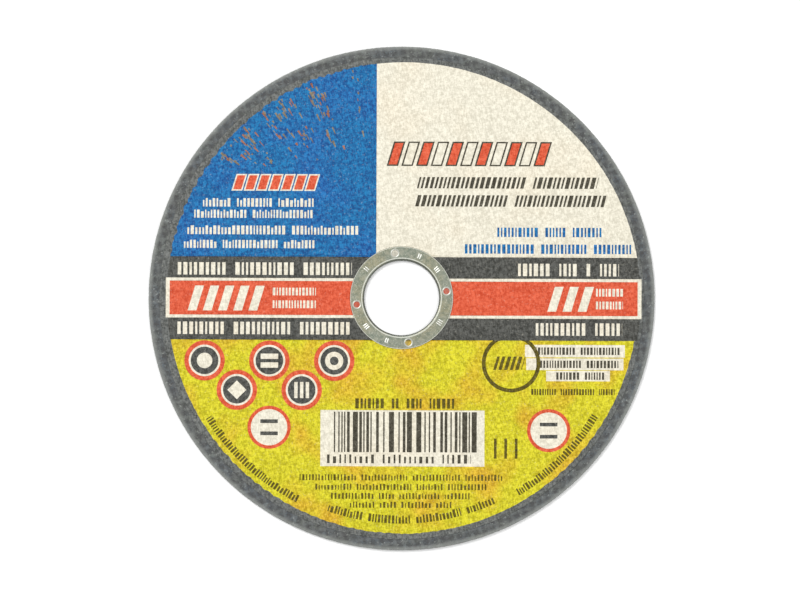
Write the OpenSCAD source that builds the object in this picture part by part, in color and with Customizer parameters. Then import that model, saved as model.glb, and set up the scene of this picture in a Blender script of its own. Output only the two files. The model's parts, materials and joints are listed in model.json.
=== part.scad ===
// Flat cut-off wheel for an angle grinder: a thin abrasive disc, a printed paper label on its upper
// face, and a pressed steel ring that lines the arbor bore.
//
// The wheel lies on its back face. Z runs along the bore and up out of the label, and Y points to the
// top of the print.

/* [Wheel] */
// Outside diameter of the wheel
wheel_d = 150; // [115:1:230]
// Thickness of the abrasive
wheel_t = 1.2; // [1:0.1:3.2]
// Diameter of the arbor bore, inside the steel ring
bore_d = 22.23; // [16:0.01:25.4]
// Bevel on both outside edges of the abrasive
edge_break = 0.15; // [0.05:0.05:0.3]

/* [Arbor ring] */
// Width of the ring seen round the bore
ring_w = 4.15; // [4:0.05:6]
// Thickness of the steel sheet
sheet_t = 0.35; // [0.3:0.05:0.5]
// Height of the ring above the label
ring_proud = 0.15; // [0.05:0.05:0.25]
// Outside radius of the bend from the flange into the bore
bend_r = 0.6; // [0.55:0.05:0.75]
// Bevel on the outside edge of the flange
ring_bevel = 0.1; // [0.05:0.05:0.15]
// Distance from the back face to the end of the collar
collar_gap = 0.1; // [0.05:0.05:0.2]

/* [Anchor holes] */
// Number of holes pierced in the flange
anchor_n = 4; // [3:1:8]
// Diameter of each hole
anchor_d = 1.9; // [1.2:0.1:2.2]
// Width of the bevel pressed round each hole
anchor_lip = 0.3; // [0.1:0.05:0.4]
// Angle from X to the first hole
anchor_turn = 8.5; // [0:0.5:90]

/* [Label] */
// Width of the bare abrasive outside the label
bare_rim = 3.25; // [2:0.25:8]
// Thickness of the label
label_t = 0.1; // [0.05:0.05:0.15]
// Width of the dark margin round the print
margin_w = 1.75; // [0.5:0.25:3]
// Height of the dark band across the print
band_h = 24.5; // [16:0.1:36]
// Height of the red panel in the band, with its border
panel_h = 11.9; // [6:0.1:14]
// Width of the pale border round the red panel
border_w = 0.9; // [0.4:0.05:1.5]
// Distance from the bore axis to the join of the two upper fields
join_x = 7.5; // [0:0.1:12]

/* [Hidden] */
$fn = 180;

grit_colour = [0.27, 0.28, 0.28];
steel_colour = [0.64, 0.65, 0.57];
blue_ink = [0.18, 0.45, 0.68];
cream_ink = [0.95, 0.93, 0.86];
dark_ink = [0.34, 0.34, 0.32];
red_ink = [0.88, 0.39, 0.27];
yellow_ink = [0.86, 0.79, 0.22];

wheel_r = wheel_d / 2;
bore_r = bore_d / 2;
ring_r = bore_r + ring_w;
collar_r = bore_r + sheet_t;
label_r = wheel_r - bare_rim;
print_r = label_r - margin_w;

// Levels, from the label's face down to its seat under the ring
face_z = wheel_t + label_t;
ring_top = face_z + ring_proud;
ring_under = ring_top - sheet_t;
seat_z = ring_under - label_t;

// The anchor holes sit in the middle of the flat part of the flange
flat_in = bore_r + bend_r;
flat_out = ring_r - ring_bevel;
anchor_r = (flat_in + flat_out) / 2;
lip_depth = sheet_t / 2;

// The panel's ends stand halfway out on the dark margin
panel_x = (label_r + print_r) / 2;

// How far cutters reach past what they cut
over = 1;

// Section of the pressed ring: collar, rolled bend and flange, in one thickness of sheet
module ring_section() {
    translate([bore_r, collar_gap])
        square([sheet_t, ring_top - bend_r - collar_gap]);
    translate([bore_r + bend_r, ring_top - bend_r])
        intersection() {
            difference() {
                circle(bend_r);
                circle(bend_r - sheet_t);
            }
            translate([-bend_r - over, 0])
                square(bend_r + over);
        }
    polygon([
        [flat_in, ring_under],
        [ring_r, ring_under],
        [ring_r, ring_top - ring_bevel],
        [flat_out, ring_top],
        [flat_in, ring_top],
    ]);
}

// Section of the label: flat on the disc, pressed down a step at the ring and clamped under its flange
module label_section() {
    difference() {
        polygon([
            [collar_r, seat_z],
            [ring_r + label_t, seat_z],
            [ring_r + label_t, wheel_t],
            [label_r, wheel_t],
            [label_r, face_z],
            [ring_r, face_z],
            [ring_r, ring_under],
            [collar_r, ring_under],
        ]);
        ring_section();
    }
}

// Section of the disc: the moulding takes the shape of the label and the ring pressed into it
module disc_section() {
    difference() {
        polygon([
            [collar_r, 0],
            [wheel_r - edge_break, 0],
            [wheel_r, edge_break],
            [wheel_r, wheel_t - edge_break],
            [wheel_r - edge_break, wheel_t],
            [collar_r, wheel_t],
        ]);
        label_section();
        ring_section();
    }
}

// The round area that is printed, from height y0 up to y1 and from x0 across to x1
module print_field(x0, x1, y0, y1) {
    intersection() {
        circle(print_r);
        translate([x0, y0])
            square([x1 - x0, y1 - y0]);
    }
}

module blue_field() {
    print_field(-wheel_r, -join_x, band_h / 2, wheel_r);
}

module cream_field() {
    print_field(-join_x, wheel_r, band_h / 2, wheel_r);
}

module yellow_field() {
    print_field(-wheel_r, wheel_r, -wheel_r, -band_h / 2);
}

// The panel crosses the whole label, less the width of its border where that is asked for
module panel_field(inset = 0) {
    square([2 * (panel_x - inset), panel_h - 2 * inset], center = true);
}

// One field of ink, cut from the label by the outline given as its child
module printed(ink) {
    color(ink)
        intersection() {
            rotate_extrude()
                label_section();
            translate([0, 0, seat_z - over])
                linear_extrude(face_z - seat_z + 2 * over)
                    children();
        }
}

module abrasive_disc() {
    color(grit_colour)
        rotate_extrude()
            disc_section();
}

module paper_label() {
    printed(blue_ink)
        blue_field();
    printed(cream_ink)
        cream_field();
    printed(yellow_ink)
        yellow_field();
    printed(red_ink)
        panel_field(border_w);
    printed(cream_ink)
        difference() {
            panel_field();
            panel_field(border_w);
        }
    printed(dark_ink)
        difference() {
            circle(label_r + over);
            blue_field();
            cream_field();
            yellow_field();
            panel_field();
        }
}

module anchor_hole() {
    translate([0, 0, ring_under - over])
        cylinder(d = anchor_d, h = sheet_t + 2 * over);
    translate([0, 0, ring_top - lip_depth])
        cylinder(d1 = anchor_d, d2 = anchor_d + 2 * anchor_lip, h = lip_depth);
}

module arbor_ring() {
    color(steel_colour)
        difference() {
            rotate_extrude()
                ring_section();
            for (i = [0 : anchor_n - 1])
                rotate(anchor_turn + i * 360 / anchor_n)
                    translate([anchor_r, 0, 0])
                        anchor_hole();
        }
}

abrasive_disc();
paper_label();
arbor_ring();
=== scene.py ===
"""Looks of a flat cut-off wheel: abrasive disc with a glass net, printed paper label and steel ring.

Lengths are in millimetres up to the point where a mesh is made. Blender's own objects are in metres.
"""
import json
import math

import bpy
import numpy as np
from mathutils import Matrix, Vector
from mathutils.geometry import delaunay_2d_cdt


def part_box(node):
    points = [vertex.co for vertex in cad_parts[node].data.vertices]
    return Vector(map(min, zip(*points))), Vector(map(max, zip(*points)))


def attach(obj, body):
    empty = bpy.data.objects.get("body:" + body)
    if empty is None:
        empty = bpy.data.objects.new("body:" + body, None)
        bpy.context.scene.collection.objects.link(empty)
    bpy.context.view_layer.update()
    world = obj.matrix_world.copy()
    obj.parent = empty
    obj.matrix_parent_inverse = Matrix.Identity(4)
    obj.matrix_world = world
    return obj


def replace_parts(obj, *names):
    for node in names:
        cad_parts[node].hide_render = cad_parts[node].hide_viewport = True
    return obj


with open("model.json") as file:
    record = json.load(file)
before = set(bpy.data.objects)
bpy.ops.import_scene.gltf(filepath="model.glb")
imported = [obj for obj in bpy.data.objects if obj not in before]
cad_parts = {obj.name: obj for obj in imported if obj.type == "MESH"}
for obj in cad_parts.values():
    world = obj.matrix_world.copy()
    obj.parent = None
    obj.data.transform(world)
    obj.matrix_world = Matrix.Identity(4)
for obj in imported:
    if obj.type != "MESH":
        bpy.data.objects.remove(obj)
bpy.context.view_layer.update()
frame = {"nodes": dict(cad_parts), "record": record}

MM = 0.001
BODY = "root"
random = np.random.default_rng(7)

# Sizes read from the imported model


def node_box(name):
    """Lowest and highest corner of a CAD node, in millimetres."""
    low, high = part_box(name)
    return np.array(low) / MM, np.array(high) / MM


def node_radius(name):
    low, high = node_box(name)
    return float(max(high[0], high[1], -low[0], -low[1]))


def mount_radius(name):
    return next(m for m in frame["record"]["mounts"] if m["name"] == name)["dims"]["r_mm"]


WHEEL_R = node_radius("abrasive_disc")
LABEL_R = node_radius("paper_label")
RING_R = node_radius("arbor_ring")
BORE_R = mount_radius("arbor_bore")
DISC_TOP = float(node_box("abrasive_disc")[1][2])
FACE_Z = float(node_box("paper_label")[1][2])
SEAT_Z = float(node_box("paper_label")[0][2])
RING_TOP = float(node_box("arbor_ring")[1][2])
LABEL_T = FACE_Z - DISC_TOP
RING_UNDER = SEAT_Z + LABEL_T
COLLAR_R = BORE_R + RING_TOP - RING_UNDER

# The glass net: pitch of its threads, and its turn on the wheel
NET_PITCH = 2.54
NET_TURN = math.radians(11)

# How far net and grit stand out, under the paper and on the bare disc
LABEL_RELIEF, LABEL_GRIT = 0.09, 0.012
DISC_RELIEF, DISC_GRIT = 0.14, 0.03

# The holes pierced in the ring's flange
HOLE_R, HOLE_CIRCLE, HOLE_TURN, HOLE_COUNT = 0.95, 13.44, 8.5, 4

# Spacing of mesh points, how many stand round the step at the ring, and how near two are to be one
LABEL_STEP = 0.46
DISC_STEP = 0.52
EDGE_STEP = 0.5
STEP_POINTS = 240
SAME_POINT = 0.0005

# Space left between faces that lie against each other, and between the paper and the ring above it
GAP = 0.02
PAPER_GAP = 0.004

# The print, which lies a little low and turned on the label. Its round edge has a middle of its own above and
# below the band, and some inks end more raggedly there than others
PRINT_TURN = math.radians(-0.22)
PRINT_Y = -0.15
UPPER_R, UPPER_MID = LABEL_R - 1.5, (0.6, 0.15)
LOWER_R, LOWER_MID = LABEL_R - 2.0, (0.3, -0.15)
RAGGED = {"blue": 1.1, "cream": 0.15, "yellow": 0.5, "black": 0.4}
BAND_TOP, BAND_FOOT = 12.3, -12.45
JOIN_X = -7.6
PANEL_H = 5.95
PANEL_LEFT, PANEL_RIGHT = -69.9, 71.1
BORDER_W, BORDER_END = 0.9, 1.15


# The woven net


def net_place(xy):
    """Where points lie on the net, counted in threads both ways. The cloth is a little out of square."""
    turn_c, turn_s = math.cos(NET_TURN), math.sin(NET_TURN)
    along = (xy[:, 0] * turn_c + xy[:, 1] * turn_s) / NET_PITCH
    across = (xy[:, 1] * turn_c - xy[:, 0] * turn_s) / NET_PITCH
    warp_bow, weft_bow = 0.22, 0.18
    warp_wave, weft_wave = 5.3, 6.7
    return along + warp_bow * np.sin(across / warp_wave), across + weft_bow * np.sin(along / weft_wave + 1)


def thread(place, run):
    """Height of one set of threads, from 0 to 1: each is round, and crosses over and under by turns."""
    number = np.round(place)
    round_top = np.cos(np.pi * (place - number)) ** 2
    over = 0.5 + 0.5 * np.cos(np.pi * (run + number))
    lowest = 0.45
    return round_top * (lowest + (1 - lowest) * over)


def net_height(xy):
    along, across = net_place(xy)
    return np.maximum(thread(along, across), thread(across, along + 1))


def swell(xy):
    """Slow unevenness of the pressed face, from 0 to 1."""
    x, y = xy[:, 0], xy[:, 1]
    return 0.5 + 0.25 * np.sin(x / 9 + np.sin(y / 14)) + 0.25 * np.sin(y / 11 - np.sin(x / 17))


# Outlines, as arrays of points that run counter-clockwise


def circle(radius, count, centre=(0, 0)):
    turn = 2 * np.pi * np.arange(count) / count
    return np.stack([centre[0] + radius * np.cos(turn), centre[1] + radius * np.sin(turn)], 1)


def round_count(radius):
    fewest = 24
    return max(fewest, int(2 * np.pi * radius / EDGE_STEP))


def box(x0, y0, x1, y1):
    return np.array([(x0, y0), (x1, y0), (x1, y1), (x0, y1)], float)


def bar(x, y, half_w, half_h):
    """A level box round its middle."""
    return box(x - half_w, y - half_h, x + half_w, y + half_h)


def leaning(x0, x1, y0, y1, lean=0.0):
    """An upright bar that leans over to the right by lean, turning about its foot."""
    over = lean * (y1 - y0)
    return np.array([(x0, y0), (x1, y0), (x1 + over, y1), (x0 + over, y1)], float)


def bent(radius, start, end, height):
    """A bar whose foot stands on a circle, from one angle to another in degrees, reading from the middle."""
    turn = np.radians([start, end])
    way = np.stack([np.cos(turn), np.sin(turn)], 1)
    return np.vstack([way * (radius + height), way[::-1] * radius])


def print_edge(ink, radius, middle, start, end):
    """The uneven round edge of a field of ink between two angles in degrees: the ink follows the net."""
    spacing = 0.35
    turn = np.radians(np.linspace(start, end, int(abs(end - start) / spacing)))
    rim = np.stack([np.cos(turn), np.sin(turn)], 1) * radius
    uneven = RAGGED[ink] * (net_height(rim) - 0.5) * swell(rim)
    return rim * (1 + uneven / radius)[:, None] + middle


# The print: each shape is an ink and an outline, and later shapes cover earlier ones


def colour_fields():
    upper, lower = (UPPER_R, UPPER_MID), (LOWER_R, LOWER_MID)
    rise = math.degrees(math.asin((BAND_TOP - UPPER_MID[1]) / UPPER_R))
    fall = math.degrees(math.asin((LOWER_MID[1] - BAND_FOOT) / LOWER_R))
    top = math.degrees(math.acos((JOIN_X - UPPER_MID[0]) / UPPER_R))
    lap = 0.3
    right_end = print_edge("black", *upper, -fall - lap, rise + lap)
    left_end = print_edge("black", *upper, 180 - rise - lap, 180 + fall + lap)
    corner = [(JOIN_X, BAND_TOP)]
    red_h = PANEL_H - BORDER_W
    return [
        ("black", np.vstack([right_end, left_end])),
        ("cream", np.vstack([print_edge("cream", *upper, rise, top), corner])),
        ("blue", np.vstack([print_edge("blue", *upper, top, 180 - rise), corner])),
        ("yellow", print_edge("yellow", *lower, 180 + fall, 360 - fall)),
        ("cream", box(PANEL_LEFT, -PANEL_H, PANEL_RIGHT, PANEL_H)),
        ("red", box(PANEL_LEFT + BORDER_END, -red_h, PANEL_RIGHT - BORDER_END, red_h)),
    ]


def strokes(length, height, words, even=False, apart=0.17):
    """Plain strokes that stand in for words: where each starts and ends along the line, and its height.

    The strokes stand apart by a share of the line's height."""
    gap, space = apart * height, 0.62 * height
    narrow, broad = 0.15, 0.36
    full, low = 1.0, 0.78
    stray = 0.3
    breaks = (np.arange(1, words) + random.uniform(-stray, stray, words - 1)) * length / words
    found, x = [], 0.0
    while x < length:
        wide = random.uniform(narrow, broad) * height
        tall = height * random.choice([full, full, low])
        found.append((x, min(x + wide, length), height if even else tall))
        x += wide + gap
        if len(breaks) and x > breaks[0]:
            breaks = breaks[1:]
            x += space
    return found


def row(ink, x0, x1, y, height, words=1, lean=0.0, even=False, apart=0.17):
    """A straight line of strokes, with its middle at y."""
    foot = y - height / 2
    line = strokes(x1 - x0, height, words, even, apart)
    return [(ink, leaning(x0 + a, x0 + b, foot, foot + tall, lean)) for a, b, tall in line]


def blocks(fills, edge, rim, x, y, width, height, pitch, count):
    """A run of leaning blocks filled with inks by turns, each with a rim of another ink round it."""
    shapes = []
    lean = 0.3
    side = rim * math.hypot(1, lean)
    for i in range(count):
        x0, x1 = x + i * pitch, x + i * pitch + width
        foot, head = y - height / 2, y + height / 2
        shapes.append((edge, leaning(x0, x1, foot, head, lean)))
        inner = leaning(x0 + side + lean * rim, x1 - side + lean * rim, foot + rim, head - rim, lean)
        shapes.append((fills[i % len(fills)], inner))
    return shapes


def hoop(ink, radius, width, centre, head):
    """A ring in short lengths, so that what lies inside it still shows. It is cut off level at head."""
    bits_round = 48
    turn = 2 * np.pi * np.arange(bits_round + 1) / bits_round
    way = np.stack([np.cos(turn), np.sin(turn)], 1)
    outside, inside = way * radius + centre, way * (radius - width) + centre
    bits = [np.array(bit) for bit in zip(inside, outside, outside[1:], inside[1:])]
    below = [bit for bit in bits if bit[:, 1].min() < head]
    return [(ink, np.minimum(bit, (np.inf, head))) for bit in below]


def curved_row(ink, radius, start, end, height, words=1):
    """A line of strokes along the lower edge, with its feet on the outside."""
    scale = math.degrees(1 / radius)
    line = strokes((end - start) / scale, height, words)
    return [(ink, bent(radius - tall, start + a * scale, start + b * scale, tall)) for a, b, tall in line]


def upper_print():
    shapes = blocks(("red", "cream"), edge="umber", rim=0.45, x=-4.6, y=43.1,
                    width=3.4, height=7.3, pitch=4.35, count=11)
    shapes += row("umber", x0=4.4, x1=57.6, y=34.5, height=3.4, words=2, lean=0.25, even=True)
    shapes += row("umber", x0=3.9, x1=60.0, y=29.1, height=3.4, words=2, lean=0.25, even=True)
    shapes += row("blue", x0=28.3, x1=59.2, y=19.8, height=2.8, words=3, even=True)
    shapes += row("blue", x0=18.7, x1=68.0, y=14.8, height=2.8, words=3, even=True)
    shapes += blocks(("red",), edge="cream", rim=0.4, x=-50.6, y=34.4,
                     width=3.2, height=5.0, pitch=3.6, count=7)
    shapes += row("cream", x0=-59.0, x1=-26.2, y=28.4, height=2.5, words=3)
    shapes += row("cream", x0=-61.6, x1=-26.2, y=25.0, height=2.4, words=2)
    shapes += row("cream", x0=-63.6, x1=-12.8, y=20.2, height=2.6, words=2)
    shapes += row("cream", x0=-64.6, x1=-25.6, y=16.0, height=2.4, words=3)
    return shapes


def band_print():
    shapes = row("cream", x0=-66.4, x1=-14.8, y=8.7, height=3.7, words=3, even=True)
    shapes += row("cream", x0=34.5, x1=64.4, y=8.6, height=3.7, words=4, even=True)
    shapes += row("cream", x0=-66.4, x1=-15.4, y=-9.0, height=3.7, words=3, even=True)
    shapes += row("cream", x0=39.8, x1=65.4, y=-9.1, height=3.7, words=2, even=True)
    for x, count, small_x0, small_x1 in ((-63.4, 5, -38.2, -25.4), (43.2, 3, 57.6, 65.6)):
        shapes += blocks(("cream",), edge="cream", rim=0.0, x=x, y=-0.1,
                         width=2.6, height=7.4, pitch=4.5, count=count)
        shapes += row("cream", x0=small_x0, x1=small_x1, y=1.9, height=2.3, even=True)
        shapes += row("cream", x0=small_x0, x1=small_x1, y=-1.9, height=2.3, even=True)
    return shapes


def motif(number, place):
    """A simple pale figure for the middle of a dark disc: a dot, bars, a ring or a lozenge by turns."""
    dot_r, ring_r, hole_r, lozenge_r = 2.3, 2.7, 1.3, 2.8
    level_w, level_h, level_y = 2.6, 0.8, 1.3
    upright_w, upright_h, upright_x = 0.5, 2.4, 1.7
    x, y = place
    if number == 0:
        return [("cream", circle(dot_r, 32, place))]
    if number == 1:
        return [("cream", bar(x, y + dy, level_w, level_h)) for dy in (-level_y, level_y)]
    if number == 2:
        return [("cream", circle(ring_r, 36, place)), ("black", circle(hole_r, 24, place))]
    if number == 3:
        return [("cream", circle(lozenge_r, 4, place))]
    return [("cream", bar(x + dx, y, upright_w, upright_h)) for dx in (-upright_x, 0, upright_x)]


def roundels():
    """Plain ringed discs: five dark ones in two rows and two pale ones lower down."""
    shapes = []
    red_r, pale_r, dark_r = 6.0, 4.7, 4.1
    wide_r, blank_r = 6.4, 5.4
    bar_y, bar_w, bar_h = 1.8, 2.6, 0.55
    upper_y, lower_y, pitch, left = -18.7, -27.4, 19.2, -58.3
    places = [(left + i * pitch, upper_y) for i in range(3)]
    places += [(left + (i + 0.5) * pitch, lower_y) for i in range(2)]
    for number, place in enumerate(places):
        for ink, radius in (("red", red_r), ("cream", pale_r), ("black", dark_r)):
            shapes.append((ink, circle(radius, 48, place)))
        shapes += motif(number, place)
    for x, y in ((-39.1, -38.5), (43.7, -39.2)):
        shapes.append(("red", circle(wide_r, 52, (x, y))))
        shapes.append(("cream", circle(blank_r, 48, (x, y))))
        for dy in (-bar_y, bar_y):
            shapes.append(("black", bar(x, y + dy, bar_w, bar_h)))
    return shapes


def stripe_panel():
    """A pale panel with upright stripes of two widths, in no code."""
    left, right, foot, head = -23.9, 24.7, -50.0, -33.3
    stripe_foot, stripe_head = foot + 4.2, head - 0.5
    widths, spaces = (0.4, 0.4, 0.8, 1.5), (0.4, 0.5, 0.9, 1.3)
    shapes = [("cream", box(left, foot, right, head))]
    x = left + 4.0
    while x < right - 2.4:
        wide = random.choice(widths)
        shapes.append(("umber", box(x, stripe_foot, x + wide, stripe_head)))
        x += wide + random.choice(spaces)
    shapes += row("umber", x0=left + 2.0, x1=right - 4.0, y=foot + 2.2, height=2.6, words=3, apart=0.38)
    return shapes


def lower_print():
    shapes = row("olive", x0=-13.6, x1=15.8, y=-31.3, height=3.0, words=4, even=True)
    panels = [(36.6, 66.2, -17.4, -13.7), (37.0, 65.8, -21.2, -17.7), (42.9, 61.8, -24.5, -21.4)]
    for x0, x1, y0, y1 in panels:
        shapes.append(("cream", box(x0, y0, x1, y1)))
        shapes += row("umber", x0=x0 + 3, x1=x1 - 1.5, y=(y0 + y1) / 2, height=2.2, words=2, even=True)
    shapes += row("olive", x0=38.5, x1=63.2, y=-27.7, height=1.8, words=3, even=True)
    stamp = (32.5, -19.2)
    shapes += hoop("olive", radius=8.7, width=1.15, centre=stamp, head=BAND_FOOT)
    shapes += row("olive", x0=27.2, x1=35.6, y=stamp[1], height=4.0, words=1, lean=0.3, even=True)
    bar_w, bar_foot, bar_head = 0.8, -47.6, -41.6
    shapes += [("olive", box(x, bar_foot, x + bar_w, bar_head)) for x in (27.5, 30.6, 33.7)]
    for y, half in ((-53.3, 30.0), (-56.1, 25.3), (-58.8, 20.7), (-61.4, 15.1)):
        shapes += row("olive", x0=-half, x1=half, y=y, height=1.8, words=4, apart=0.28)
    shapes += curved_row("olive", radius=68.2, start=212, end=243, height=2.2)
    shapes += curved_row("olive", radius=68.2, start=301, end=329, height=2.2)
    shapes += curved_row("olive", radius=67.0, start=251, end=295, height=2.4, words=4)
    return shapes


def sparks():
    """Short dull dashes in broken streams that fan out over the blue field, thickest at its round edge."""
    shapes = []
    steepest, flattest, streams, stray = 103, 142, 20, 0.6
    dashes, usual_depth, inset = 8, 7.5, 0.5
    shortest, longest = 0.5, 2.4
    thinnest, thickest, taper = 0.3, 0.8, 0.5
    lowest, join = 39, JOIN_X - 1
    for stream in random.uniform(steepest, flattest, streams):
        for depth in random.exponential(usual_depth, dashes):
            heading = math.radians(stream + random.normal(0, stray))
            length, width = random.uniform(shortest, longest), random.uniform(thinnest, thickest)
            ink = random.choice(["orange", "ochre", "ochre"])
            way = np.array([math.cos(heading), math.sin(heading)])
            side = np.array([-way[1], way[0]]) * width / 2
            tip = UPPER_MID + way * (UPPER_R - inset - depth)
            tail = tip - way * length
            if tail[1] > lowest and tail[0] < join:
                dash = np.array([tail - taper * side, tip - side, tip + side, tail + taper * side])
                shapes.append((str(ink), dash))
    return shapes


# Triangulated surfaces


def on_label(outline):
    """An outline of the print where it lies on the label."""
    turn_c, turn_s = math.cos(PRINT_TURN), math.sin(PRINT_TURN)
    x, y = outline[:, 0], outline[:, 1]
    return np.stack([x * turn_c - y * turn_s, x * turn_s + y * turn_c + PRINT_Y], 1)


def counter_clockwise(outline):
    x, y = outline[:, 0], outline[:, 1]
    area = np.sum(x * np.roll(y, -1) - np.roll(x, -1) * y)
    return outline if area > 0 else outline[::-1]


def lattice(r_in, r_out, step):
    """Points on a square grid that lies with the net, between two radii."""
    reach = int(r_out / step) + 2
    ticks = np.arange(-reach, reach + 1) * step
    along, across = (a.ravel() for a in np.meshgrid(ticks, ticks))
    turn_c, turn_s = math.cos(NET_TURN), math.sin(NET_TURN)
    points = np.stack([along * turn_c - across * turn_s, along * turn_s + across * turn_c], 1)
    radius = np.hypot(points[:, 0], points[:, 1])
    return points[(radius > r_in) & (radius < r_out)]


def triangulate(points, outlines):
    """Triangles of points and outlines together, and for each the number of the last outline that holds it.

    Also returns where each outline's own points went."""
    places, faces = [points], []
    count = len(points)
    for outline in outlines:
        faces.append(list(range(count, count + len(outline))))
        places.append(outline)
        count += len(outline)
    vectors = [Vector(p) for p in np.vstack(places).tolist()]
    flat, _, triangles, came_from, _, owners = delaunay_2d_cdt(vectors, [], faces, 1, SAME_POINT, True)
    where = {old: new for new, olds in enumerate(came_from) for old in olds}
    loops = [[where[i] for i in face] for face in faces]
    return np.array(flat), np.array(triangles), np.array([max(o, default=-1) for o in owners]), loops


class Shell:
    """One closed mesh, put together from sheets and walls that share their edge points."""

    def __init__(self):
        self.points, self.faces, self.slots = [], [], []
        self.count = 0

    def add_points(self, points):
        first = self.count
        self.points.append(np.asarray(points, float))
        self.count += len(points)
        return first

    def add_sheet(self, flat, heights, triangles, slots, face_down=False):
        first = self.add_points(np.column_stack([flat, heights]))
        order = triangles[:, ::-1] if face_down else triangles
        self.faces += (order + first).tolist()
        self.slots += list(slots)
        return first

    def add_wall(self, lower, upper, slot):
        """Quads between two loops of as many points, facing out when the loops run counter-clockwise."""
        turned = zip(lower, lower[1:] + lower[:1], upper[1:] + upper[:1], upper)
        quads = [list(quad) for quad in turned]
        self.faces += quads
        self.slots += [slot] * len(quads)

    def to_object(self, name, materials, crease_deg=50):
        points = np.vstack(self.points)
        mesh = bpy.data.meshes.new(name)
        mesh.from_pydata((points * MM).tolist(), [], self.faces)
        for material in materials:
            mesh.materials.append(material)
        mesh.polygons.foreach_set("material_index", np.array(self.slots, np.int32))
        crest = mesh.attributes.new("net_crest", "FLOAT", "POINT")
        crest.data.foreach_set("value", net_height(points[:, :2]).astype(np.float32))
        mesh.shade_smooth()
        mesh.set_sharp_from_angle(angle=math.radians(crease_deg))
        mesh.validate()
        obj = bpy.data.objects.new(name, mesh)
        bpy.context.scene.collection.objects.link(obj)
        return obj


# Materials


class Finish:
    """A material under construction: a Principled shader, and coordinates in millimetres."""

    def __init__(self, name):
        self.material = bpy.data.materials.new(name)
        self.material.use_nodes = True
        self.tree = self.material.node_tree
        self.shader = self.tree.nodes["Principled BSDF"]
        place = self.tree.nodes.new("ShaderNodeTexCoord").outputs["Object"]
        self.mm = self.add("ShaderNodeVectorMath", {0: place, "Scale": 1 / MM}, operation="SCALE").outputs[0]

    def add(self, kind, inputs, **settings):
        made = self.tree.nodes.new(kind)
        for key, value in settings.items():
            setattr(made, key, value)
        for key, value in inputs.items():
            self.put(made.inputs[key], value)
        return made

    def put(self, socket, value):
        if isinstance(value, bpy.types.NodeSocket):
            self.tree.links.new(value, socket)
        else:
            socket.default_value = value

    def set(self, **inputs):
        for key, value in inputs.items():
            self.put(self.shader.inputs[key.replace("_", " ")], value)

    def moved(self, offset=(0, 0, 0), stretch=(1, 1, 1)):
        """The millimetre coordinates, turned with the net, stretched, and moved so that patterns differ."""
        turned = self.add("ShaderNodeMapping", {"Vector": self.mm, "Rotation": (0, 0, -NET_TURN)}).outputs[0]
        inputs = {"Vector": turned, "Location": offset, "Scale": stretch}
        return self.add("ShaderNodeMapping", inputs).outputs[0]

    def noise(self, scale, detail=2.0, rough=0.5, offset=(0, 0, 0), stretch=(1, 1, 1)):
        inputs = {"Vector": self.moved(offset, stretch), "Scale": scale, "Detail": detail, "Roughness": rough}
        return self.add("ShaderNodeTexNoise", inputs).outputs["Fac"]

    def cells(self, scale, offset=(0, 0, 0)):
        """Random grey of each grain, and distance from its middle."""
        made = self.add("ShaderNodeTexVoronoi", {"Vector": self.moved(offset), "Scale": scale})
        tone = self.add("ShaderNodeSeparateColor", {"Color": made.outputs["Color"]}).outputs[0]
        return tone, made.outputs["Distance"]

    def radius(self):
        """Distance from the wheel's axis, in millimetres."""
        flat = self.add("ShaderNodeVectorMath", {0: self.mm, 1: (1, 1, 0)}, operation="MULTIPLY").outputs[0]
        return self.add("ShaderNodeVectorMath", {0: flat}, operation="LENGTH").outputs["Value"]

    def nearest(self, places):
        """Distance to the nearest of some places, seen from above."""
        flat = self.add("ShaderNodeVectorMath", {0: self.mm, 1: (1, 1, 0)}, operation="MULTIPLY").outputs[0]
        least = 1000.0
        for place in places:
            made = self.add("ShaderNodeVectorMath", {0: flat, 1: place}, operation="DISTANCE")
            least = self.math("MINIMUM", made.outputs["Value"], least)
        return least

    def crest(self):
        return self.add("ShaderNodeAttribute", {}, attribute_name="net_crest").outputs["Fac"]

    def ramp(self, value, low, high, to_low=0.0, to_high=1.0):
        inputs = {"Value": value, "From Min": low, "From Max": high, "To Min": to_low, "To Max": to_high}
        return self.add("ShaderNodeMapRange", inputs).outputs["Result"]

    def math(self, operation, a, b):
        return self.add("ShaderNodeMath", {0: a, 1: b}, operation=operation).outputs[0]

    def mix(self, factor, a, b):
        made = self.tree.nodes.new("ShaderNodeMix")
        made.data_type = "RGBA"
        self.put(made.inputs[0], factor)
        self.put(made.inputs[6], a)
        self.put(made.inputs[7], b)
        return made.outputs[2]

    def bump(self, height, strength, depth):
        inputs = {"Height": height, "Strength": strength, "Distance": depth * MM}
        return self.add("ShaderNodeBump", inputs).outputs["Normal"]


def hole_places():
    turn = [math.radians(HOLE_TURN + i * 360 / HOLE_COUNT) for i in range(HOLE_COUNT)]
    return [(HOLE_CIRCLE * math.cos(a), HOLE_CIRCLE * math.sin(a), 0) for a in turn]


def grey(value):
    return (value, value, value, 1)


def shade(colour, factor):
    return tuple(min(1.0, c * factor) for c in colour[:3]) + (1,)


def toned(colour, step):
    """A colour made lighter or darker by the same step in each channel, as the eye sees it."""
    gamma = 2.2
    seen = [max(0.0, c ** (1 / gamma) + step) for c in colour[:3]]
    return tuple(min(1.0, s ** gamma) for s in seen) + (1,)


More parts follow.
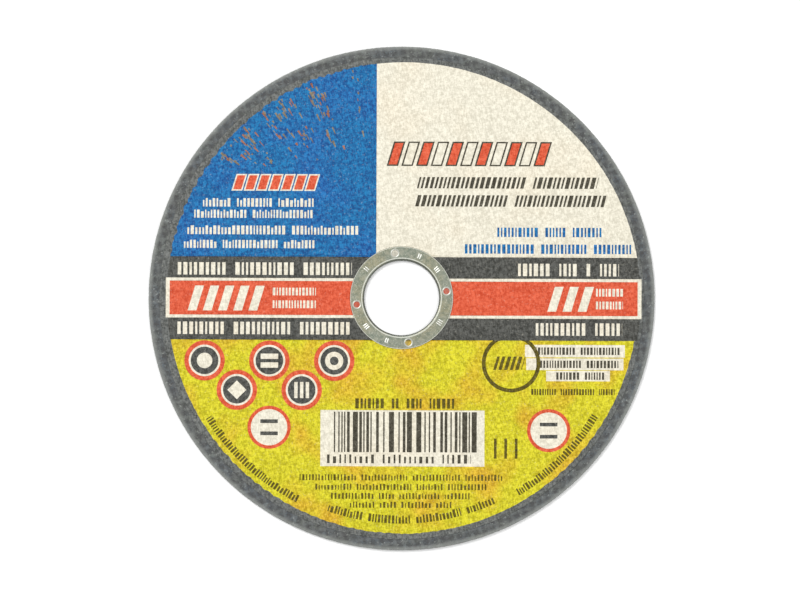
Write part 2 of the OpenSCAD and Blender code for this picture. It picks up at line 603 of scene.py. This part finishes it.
# Inks as they look on the label: olive is black over yellow, and umber is black over cream
PAPER = (0.735, 0.697, 0.578, 1)
INKS = {
    "black": (0.074, 0.075, 0.067, 1),
    "olive": (0.108, 0.085, 0.001, 1),
    "umber": (0.067, 0.060, 0.041, 1),
    "margin": (0.130, 0.136, 0.129, 1),
    "cream": PAPER,
    "blue": (0.003, 0.142, 0.354, 1),
    "yellow": (0.573, 0.522, 0.009, 1),
    "red": (0.618, 0.092, 0.037, 1),
    "orange": (0.300, 0.135, 0.085, 1),
    "ochre": (0.215, 0.185, 0.135, 1),
}

# What each ink turns to in its slow blotches
BLOTCHES = {
    "yellow": (0.619, 0.285, 0.016, 1),
    "blue": (0.012, 0.122, 0.390, 1),
    "cream": (0.750, 0.680, 0.540, 1),
}

# How far an ink darkens and lightens in its streaks, and how strong its dark pits are
STREAKS = {
    "cream": (0.095, 0.032, 0.28),
    "red": (0.085, 0.050, 0.30),
    "black": (0.105, 0.048, 0.35),
    "blue": (0.140, 0.050, 0.30),
    "yellow": (0.135, 0.070, 0.30),
    "margin": (0.125, 0.045, 0.36),
}
USUAL_STREAKS = (0.093, 0.030, 0.36)
INK_SHINE = 0.2
# Painted shade for the paper that shows at the bottom of the ring's holes
HOLE_SHADE = (0.170, 0.170, 0.150, 1)


def ink_finish(name, colour):
    """Ink on thin paper over the net: streaked with the threads, scuffed, pitted, and with painted shade in
    the ring's holes.
    """
    f = Finish(name)
    warp = f.noise(1.25, detail=3, rough=0.6, stretch=(2.3, 0.7, 1))
    weft = f.noise(1.25, detail=3, rough=0.6, offset=(31, 9, 0), stretch=(0.8, 2.3, 1))
    threads = f.math("ADD", f.math("MULTIPLY", warp, 0.6), f.math("MULTIPLY", weft, 0.4))
    grains = f.noise(1.1, offset=(19, 44, 0))
    uneven = f.math("ADD", f.math("MULTIPLY", threads, 0.7), f.math("MULTIPLY", grains, 0.3))
    clouds = f.ramp(f.noise(0.07, offset=(40, 7, 0)), 0.45, 0.68, 0.0, 0.6)
    wear_and_highlights = f.ramp(f.noise(1.8, rough=0.6, offset=(11, 3, 0)), 0.60, 0.74)
    pits = f.ramp(f.noise(1.7, rough=0.6, offset=(5, 29, 0)), 0.57, 0.70)
    blotch = BLOTCHES.get(name, shade(colour, 0.92))
    down, up, pitted = STREAKS.get(name, USUAL_STREAKS)
    deep = f.mix(clouds, toned(colour, -down), toned(blotch, -down))
    thin = f.mix(clouds, toned(colour, up), toned(blotch, up))
    streaked = f.mix(f.ramp(uneven, 0.42, 0.58), deep, thin)
    wear_and_edge_highlight = f.mix(f.math("MULTIPLY", wear_and_highlights, 0.16), streaked, PAPER)
    dark = f.mix(f.math("MULTIPLY", pits, pitted), wear_and_edge_highlight, toned(colour, -2 * down))
    # Painted shade: the paper inside the ring's holes is darkened, patchy with the grains
    in_hole = f.ramp(f.nearest(hole_places()), HOLE_R, HOLE_R + 0.3, 1.0, 0.0)
    hole_shaded = f.mix(f.math("MULTIPLY", in_hole, f.ramp(grains, 0.4, 0.6, 0.2, 0.55)), dark, HOLE_SHADE)
    dull = f.ramp(threads, 0.3, 0.7, 0.42, 0.66)
    f.set(Base_Color=hole_shaded, Roughness=dull, Normal=f.bump(threads, 0.4, 0.06))
    f.set(Specular_IOR_Level=INK_SHINE)
    return f.material


def grit_finish():
    """Dark bonded grit: grains of many greys in blotches, a few of them bright, and a pale edge that is a
    painted highlight.
    """
    f = Finish("grit")
    grain, middle = f.cells(2.6)
    fine = f.noise(4.5, detail=3, rough=0.7)
    tint = f.ramp(f.noise(0.16, detail=3, rough=0.6, offset=(13, 21, 0)), 0.38, 0.62)
    pale = f.mix(tint, (0.094, 0.118, 0.136, 1), (0.124, 0.138, 0.118, 1))
    grains = f.mix(f.ramp(grain, 0.1, 0.9), grey(0.032), pale)
    bright = f.mix(f.ramp(grain, 0.95, 0.985, 0.0, 0.5), grains, (0.40, 0.41, 0.38, 1))
    matrix = f.mix(f.ramp(fine, 0.35, 0.75, 0.0, 0.5), bright, grey(0.045))
    net = f.crest()
    openings = f.mix(f.ramp(net, 0.1, 0.6, 0.47, 0.0), matrix, grey(0.036))
    threads = f.mix(f.ramp(net, 0.4, 0.9, 0.0, 0.38), openings, (0.180, 0.190, 0.184, 1))
    patches = f.ramp(f.noise(0.5, offset=(27, 5, 0)), 0.40, 0.60, 0.0, 0.35)
    blotched = f.mix(patches, threads, grey(0.050))
    # Painted highlight: a pale, ragged band round the disc's outer edge
    ragged = f.math("ADD", f.radius(), f.math("MULTIPLY", fine, 1.2))
    wear_and_edge_highlight = f.ramp(ragged, WHEEL_R - 0.7, WHEEL_R + 0.4, 0.0, 0.5)
    edged = f.mix(wear_and_edge_highlight, blotched, (0.330, 0.345, 0.320, 1))
    height = f.math("ADD", f.math("MULTIPLY", middle, -0.8), fine)
    f.set(Base_Color=edged, Roughness=f.ramp(grain, 0.0, 1.0, 0.52, 0.78), Normal=f.bump(height, 0.5, 0.12))
    return f.material


def steel_finish():
    """Plated sheet steel, satin from the rolls and stained, with painted highlights round its edges and holes
    and painted shade at its collar.
    """
    f = Finish("ring_steel")
    rolled = f.noise(1.0, detail=3, rough=0.6, offset=(3, 8, 0), stretch=(0.35, 6, 1))
    stains = f.noise(0.75, detail=4, rough=0.7, offset=(17, 2, 0))
    sheen = f.noise(0.11, offset=(6, 31, 0))
    specks = f.ramp(f.noise(2.6, detail=3, rough=0.6), 0.56, 0.70)
    cool = f.mix(f.ramp(stains, 0.38, 0.62), (0.172, 0.206, 0.161, 1), (0.338, 0.344, 0.272, 1))
    warm = f.mix(f.ramp(stains, 0.38, 0.62), (0.200, 0.206, 0.136, 1), (0.382, 0.354, 0.231, 1))
    body = f.mix(f.ramp(sheen, 0.42, 0.58), cool, warm)
    streaked = f.mix(f.ramp(rolled, 0.35, 0.65, 0.0, 0.55), body, (0.214, 0.230, 0.190, 1))
    dotted = f.mix(f.math("MULTIPLY", specks, 0.60), streaked, (0.620, 0.625, 0.520, 1))
    radius = f.radius()
    # Painted shade: a dark ring round the bend where the flange turns down into the collar
    collar_painted_shade = f.mix(f.ramp(radius, BORE_R + 0.30, BORE_R + 0.55, 0.85, 0.0), dotted, (0.105, 0.112, 0.098, 1))
    # Painted highlights: a bright line on the collar's lip, round the outer edge and round each hole
    lip = f.ramp(f.math("ABSOLUTE", f.math("SUBTRACT", radius, BORE_R + 0.70), 0), 0.05, 0.2, 0.8, 0.0)
    rim = f.ramp(radius, RING_R - 0.25, RING_R - 0.08)
    pressed = f.ramp(f.nearest(hole_places()), HOLE_R + 0.15, HOLE_R + 0.45, 1.0, 0.0)
    wear_and_highlights = f.math("MAXIMUM", f.math("MAXIMUM", lip, rim), pressed)
    bright = f.mix(f.math("MULTIPLY", wear_and_highlights, 0.85), collar_painted_shade, (0.830, 0.835, 0.760, 1))
    satin = f.ramp(rolled, 0.25, 0.75, 0.34, 0.50)
    f.set(Base_Color=bright, Roughness=satin, Normal=f.bump(rolled, 0.12, 0.02))
    f.shader.inputs["Metallic"].default_value = 0.85
    return f.material


def mark_finish():
    """Steel made bright by wear on the stamped strokes."""
    f = Finish("bright_steel")
    rub = f.noise(4.0)
    colour = f.mix(rub, (0.70, 0.71, 0.66, 1), (0.86, 0.86, 0.80, 1))
    f.set(Base_Color=colour, Roughness=f.ramp(rub, 0.3, 0.7, 0.3, 0.5))
    f.shader.inputs["Metallic"].default_value = 0.7
    return f.material


def floor_finish():
    f = Finish("pale_floor")
    f.set(Base_Color=grey(0.94), Roughness=0.9)
    return f.material


# The label


def label_face_height(xy):
    """Height of the label's upper side: pressed over the net, and down a step to run in under the ring."""
    radius = np.hypot(xy[:, 0], xy[:, 1])
    relief = LABEL_RELIEF * (net_height(xy) - 0.5) * (0.6 + 0.6 * swell(xy))
    relief += random.normal(0, LABEL_GRIT, len(xy))
    step = np.clip((radius - RING_R - GAP) / LABEL_T, 0, 1)
    under = RING_UNDER - PAPER_GAP
    return under + (FACE_Z + relief - under) * step


def lay_flat(mesh):
    """A map of the label as seen from above, with its underside and walls drawn small in three corners."""
    corner_of = np.empty(len(mesh.loops), np.int32)
    mesh.loops.foreach_get("vertex_index", corner_of)
    points = np.empty((len(mesh.vertices), 3), np.float32)
    mesh.vertices.foreach_get("co", points.ravel())
    normals = np.empty((len(mesh.polygons), 3), np.float32)
    mesh.polygons.foreach_get("normal", normals.ravel())
    counts = np.empty(len(mesh.polygons), np.int32)
    mesh.polygons.foreach_get("loop_total", counts)

    place = points[corner_of] / MM
    facing = np.repeat(normals[:, 2], counts)
    flat = place[:, :2]
    radius = np.hypot(flat[:, 0], flat[:, 1])[:, None]
    risen = (place[:, 2:] - SEAT_Z) / (FACE_Z - SEAT_Z)
    middle, large = 0.5, 0.49
    small, near, far = 0.06, 0.07, 0.93
    level = 0.3
    wall = flat / radius * small * (0.6 + 0.4 * risen)
    uv = np.where(radius > RING_R, (far, near) + wall, (near, far) + wall)
    uv[facing > level] = (middle + large * flat / LABEL_R)[facing > level]
    uv[facing < -level] = (near + small * flat / LABEL_R)[facing < -level]
    mesh.uv_layers.new(name="OFBake").uv.foreach_set("vector", uv.astype(np.float32).ravel())


def round_edge(flat, radius):
    """Numbers of the points on a round edge, in order, with those where the print's outlines cross it."""
    close = 0.01
    off = np.abs(np.hypot(flat[:, 0], flat[:, 1]) - radius)
    edge = np.flatnonzero(off < close)
    return edge[np.argsort(np.arctan2(flat[edge, 1], flat[edge, 0]))]


def make_label(materials):
    inner_r = COLLAR_R + 0.3
    step_r = RING_R + GAP
    grid_in, grid_out = RING_R + 0.4, LABEL_R - 0.3
    outer = circle(LABEL_R, round_count(LABEL_R))
    inner = circle(inner_r, round_count(inner_r))
    foot, head = circle(step_r, STEP_POINTS), circle(step_r + LABEL_T, STEP_POINTS)
    shapes = colour_fields() + sparks() + upper_print() + band_print()
    shapes += roundels() + stripe_panel() + lower_print()
    names = list(INKS)
    margin, paper = names.index("margin"), names.index("cream")
    outlines = [outer] + [counter_clockwise(on_label(outline)) for _, outline in shapes] + [inner]
    slot_of = np.array([margin] + [names.index(ink) for ink, _ in shapes] + [-1])
    points = np.vstack([lattice(grid_in, grid_out, LABEL_STEP), foot, head])
    flat, triangles, owner, loops = triangulate(points, outlines)
    kept = slot_of[owner] >= 0

    shell = Shell()
    top = shell.add_sheet(flat, label_face_height(flat), triangles[kept], slot_of[owner][kept])
    inner_edge = round_edge(flat, inner_r)
    edges = [outer, flat[inner_edge]]
    under_flat, under_triangles, under_owner, under_loops = triangulate(np.vstack([foot, head]), edges)
    under_r = np.hypot(under_flat[:, 0], under_flat[:, 1])
    under_z = np.where(under_r > step_r + LABEL_T / 2, DISC_TOP - LABEL_T, SEAT_Z)
    whole = under_triangles[under_owner == 0]
    base = shell.add_sheet(under_flat, under_z, whole, [paper] * len(whole), face_down=True)
    shell.add_wall([base + i for i in under_loops[0]], [top + i for i in loops[0]], margin)
    shell.add_wall([top + i for i in inner_edge], [base + i for i in under_loops[1]], paper)
    made = shell.to_object("paper_label_print", materials)
    lay_flat(made.data)
    return made


# The disc


def disc_face_height(xy, sign):
    """How far a bare face of the disc lies inside its full thickness: net, grit and slow unevenness."""
    depth = DISC_RELIEF * (1 - net_height(xy)) * (0.5 + 0.5 * swell(xy))
    depth += np.abs(random.normal(0, DISC_GRIT, len(xy)))
    return DISC_TOP - depth if sign > 0 else depth


def edge_loop(radius, count, rough):
    """A round edge whose points lie a little inside its radius, each by chance."""
    unit = circle(1.0, count)
    return unit * (radius - np.abs(random.normal(0, rough, count)))[:, None]


def make_disc(material):
    bevel, corner = 0.22, 0.08
    face_rough, cut_rough = 0.05, 0.06
    hidden_z = DISC_TOP - LABEL_T - GAP
    face_r = WHEEL_R - bevel
    tucked_r = LABEL_R - 0.05
    grid_out, rim_grid_in, back_grid_in = face_r - 0.3, LABEL_R + 0.2, COLLAR_R + 0.4
    count = round_count(WHEEL_R)
    rim_in = circle(tucked_r, round_count(LABEL_R))
    rim_out = edge_loop(face_r, count, face_rough)
    back_in = circle(COLLAR_R + GAP / 2, round_count(COLLAR_R))

    shell = Shell()
    points = lattice(rim_grid_in, grid_out, DISC_STEP)
    flat, triangles, owner, rim = triangulate(points, [rim_out, rim_in])
    on_rim = triangles[owner == 0]
    rim_z = disc_face_height(flat, 1)
    rim_z[rim[1]] = DISC_TOP - LABEL_T / 2
    rim_at = shell.add_sheet(flat, rim_z, on_rim, [0] * len(on_rim))
    back_out = edge_loop(face_r, count, face_rough)
    points = lattice(back_grid_in, grid_out, DISC_STEP)
    flat, triangles, owner, back = triangulate(points, [back_out, back_in])
    on_back = triangles[owner == 0]
    back_at = shell.add_sheet(flat, disc_face_height(flat, -1), on_back, [0] * len(on_back), face_down=True)

    # The cut edge, in rows from the back to the front
    rows = [[back_at + i for i in back[0]]]
    for share, inset in ((0.1, corner), (0.3, 0), (0.5, 0), (0.7, 0), (0.9, corner)):
        loop = edge_loop(WHEEL_R - inset, count, cut_rough)
        first = shell.add_points(np.column_stack([loop, np.full(count, share * DISC_TOP)]))
        rows.append(list(range(first, first + count)))
    rows.append([rim_at + i for i in rim[0]])
    for lower, upper in zip(rows, rows[1:]):
        shell.add_wall(lower, upper, 0)

    # The seat under the label and the ring, which only shows where those are lifted off
    step_r = RING_R + LABEL_T
    steps = [circle(step_r + GAP, STEP_POINTS), circle(step_r, STEP_POINTS)]
    flat, triangles, owner, seat = triangulate(np.vstack(steps), [rim_in, back_in])
    on_seat = triangles[owner == 0]
    seat_r = np.hypot(flat[:, 0], flat[:, 1])
    seat_z = np.where(seat_r > step_r + GAP / 2, hidden_z, SEAT_Z - GAP)
    seat_at = shell.add_sheet(flat, seat_z, on_seat, [0] * len(on_seat))
    shell.add_wall([rim_at + i for i in rim[1]], [seat_at + i for i in seat[0]], 0)
    shell.add_wall([seat_at + i for i in seat[1]], [back_at + i for i in back[1]], 0)
    return shell.to_object("abrasive_disc_grit", [material])


# The ring's stamped strokes


def stroke(shell, angle, r0, r1, width):
    """A short raised stroke that lies along a radius, with sloping sides."""
    way = np.array([math.cos(math.radians(angle)), math.sin(math.radians(angle))])
    side = np.array([-way[1], way[0]])
    levels = [(0.0, -0.02), (0.03, 0.025), (0.10, 0.05)]
    rows = []
    for inset, height in levels:
        half = width / 2 - inset
        corners = [way * (r0 + inset) - side * half, way * (r1 - inset) - side * half,
                   way * (r1 - inset) + side * half, way * (r0 + inset) + side * half]
        first = shell.add_points([(*c, RING_TOP + height) for c in corners])
        rows.append(list(range(first, first + 4)))
    for lower, upper in zip(rows, rows[1:]):
        shell.add_wall(lower, upper, 0)
    shell.faces += [rows[-1], rows[0][::-1]]
    shell.slots += [0, 0]


def make_marks(material):
    """Groups of plain strokes round the ring, like tally marks."""
    shell = Shell()
    r_in, r_out, width, pitch = 12.7, 14.2, 0.32, 2.6
    for angle, count in ((38.6, 3), (66.8, 2), (140.6, 2), (219, 3), (250.9, 2), (-33, 3)):
        for i in range(count):
            stroke(shell, angle + (i - (count - 1) / 2) * pitch, r_in, r_out, width)
    return shell.to_object("ring_marks", [material], crease_deg=25)


# The set: floor, light and camera


def make_floor(material):
    reach, drop = 3000.0, 0.01
    shell = Shell()
    first = shell.add_points(np.column_stack([box(-reach, -reach, reach, reach), np.full(4, -drop)]))
    shell.faces.append(list(range(first, first + 4)))
    shell.slots.append(0)
    floor = shell.to_object("floor", [material])


def add_lamp(name, place, size, watts):
    light = bpy.data.lights.new(name, "AREA")
    light.shape = "DISK"
    light.size = size
    light.energy = watts
    lamp = bpy.data.objects.new(name, light)
    lamp.location = place
    lamp.rotation_euler = (-Vector(place)).to_track_quat("-Z", "Y").to_euler()
    bpy.context.scene.collection.objects.link(lamp)


def add_light():
    world = bpy.data.worlds.new("studio")
    world.use_nodes = True
    backdrop = world.node_tree.nodes["Background"]
    backdrop.inputs["Color"].default_value = (1.0, 1.0, 1.0, 1)
    backdrop.inputs["Strength"].default_value = 0.62
    bpy.context.scene.world = world
    add_lamp("key", (-0.72, 0.8, 1.38), size=1.15, watts=21)
    add_lamp("fill", (0.9, -0.5, 1.3), size=1.1, watts=8)


def add_camera():
    """Looks down on the label from a little toward the foot of the print, as the photograph does."""
    image_w, image_h = 800, 600
    px_per_mm = 3.374
    centre_x_px, centre_y_px = 401.6, 297.8
    tilt = math.radians(5.5)
    distance = 4000.0
    camera = bpy.data.cameras.new("camera")
    camera.sensor_width = 36.0
    camera.lens = px_per_mm * camera.sensor_width / image_w * distance
    camera.clip_start = 0.01
    camera.clip_end = 20.0
    aim_x = (image_w / 2 - centre_x_px) / px_per_mm
    aim_y = (centre_y_px - image_h / 2) / px_per_mm
    aim = Vector((aim_x, aim_y, FACE_Z))
    obj = bpy.data.objects.new("camera", camera)
    obj.location = (aim + distance * Vector((0, -math.sin(tilt), math.cos(tilt)))) * MM
    obj.rotation_euler = (tilt, 0, 0)
    bpy.context.scene.collection.objects.link(obj)
    bpy.context.scene.camera = obj


# Putting it together

label = make_label([ink_finish(name, colour) for name, colour in INKS.items()])
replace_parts(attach(label, BODY), "paper_label")

disc = make_disc(grit_finish())
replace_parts(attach(disc, BODY), "abrasive_disc")

ring = frame["nodes"]["arbor_ring"]
steel = steel_finish()
for holder in ring.material_slots:
    holder.material = steel

marks = make_marks(mark_finish())
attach(marks, BODY)

make_floor(floor_finish())
add_light()
add_camera()
bpy.context.scene.view_settings.view_transform = "Standard"
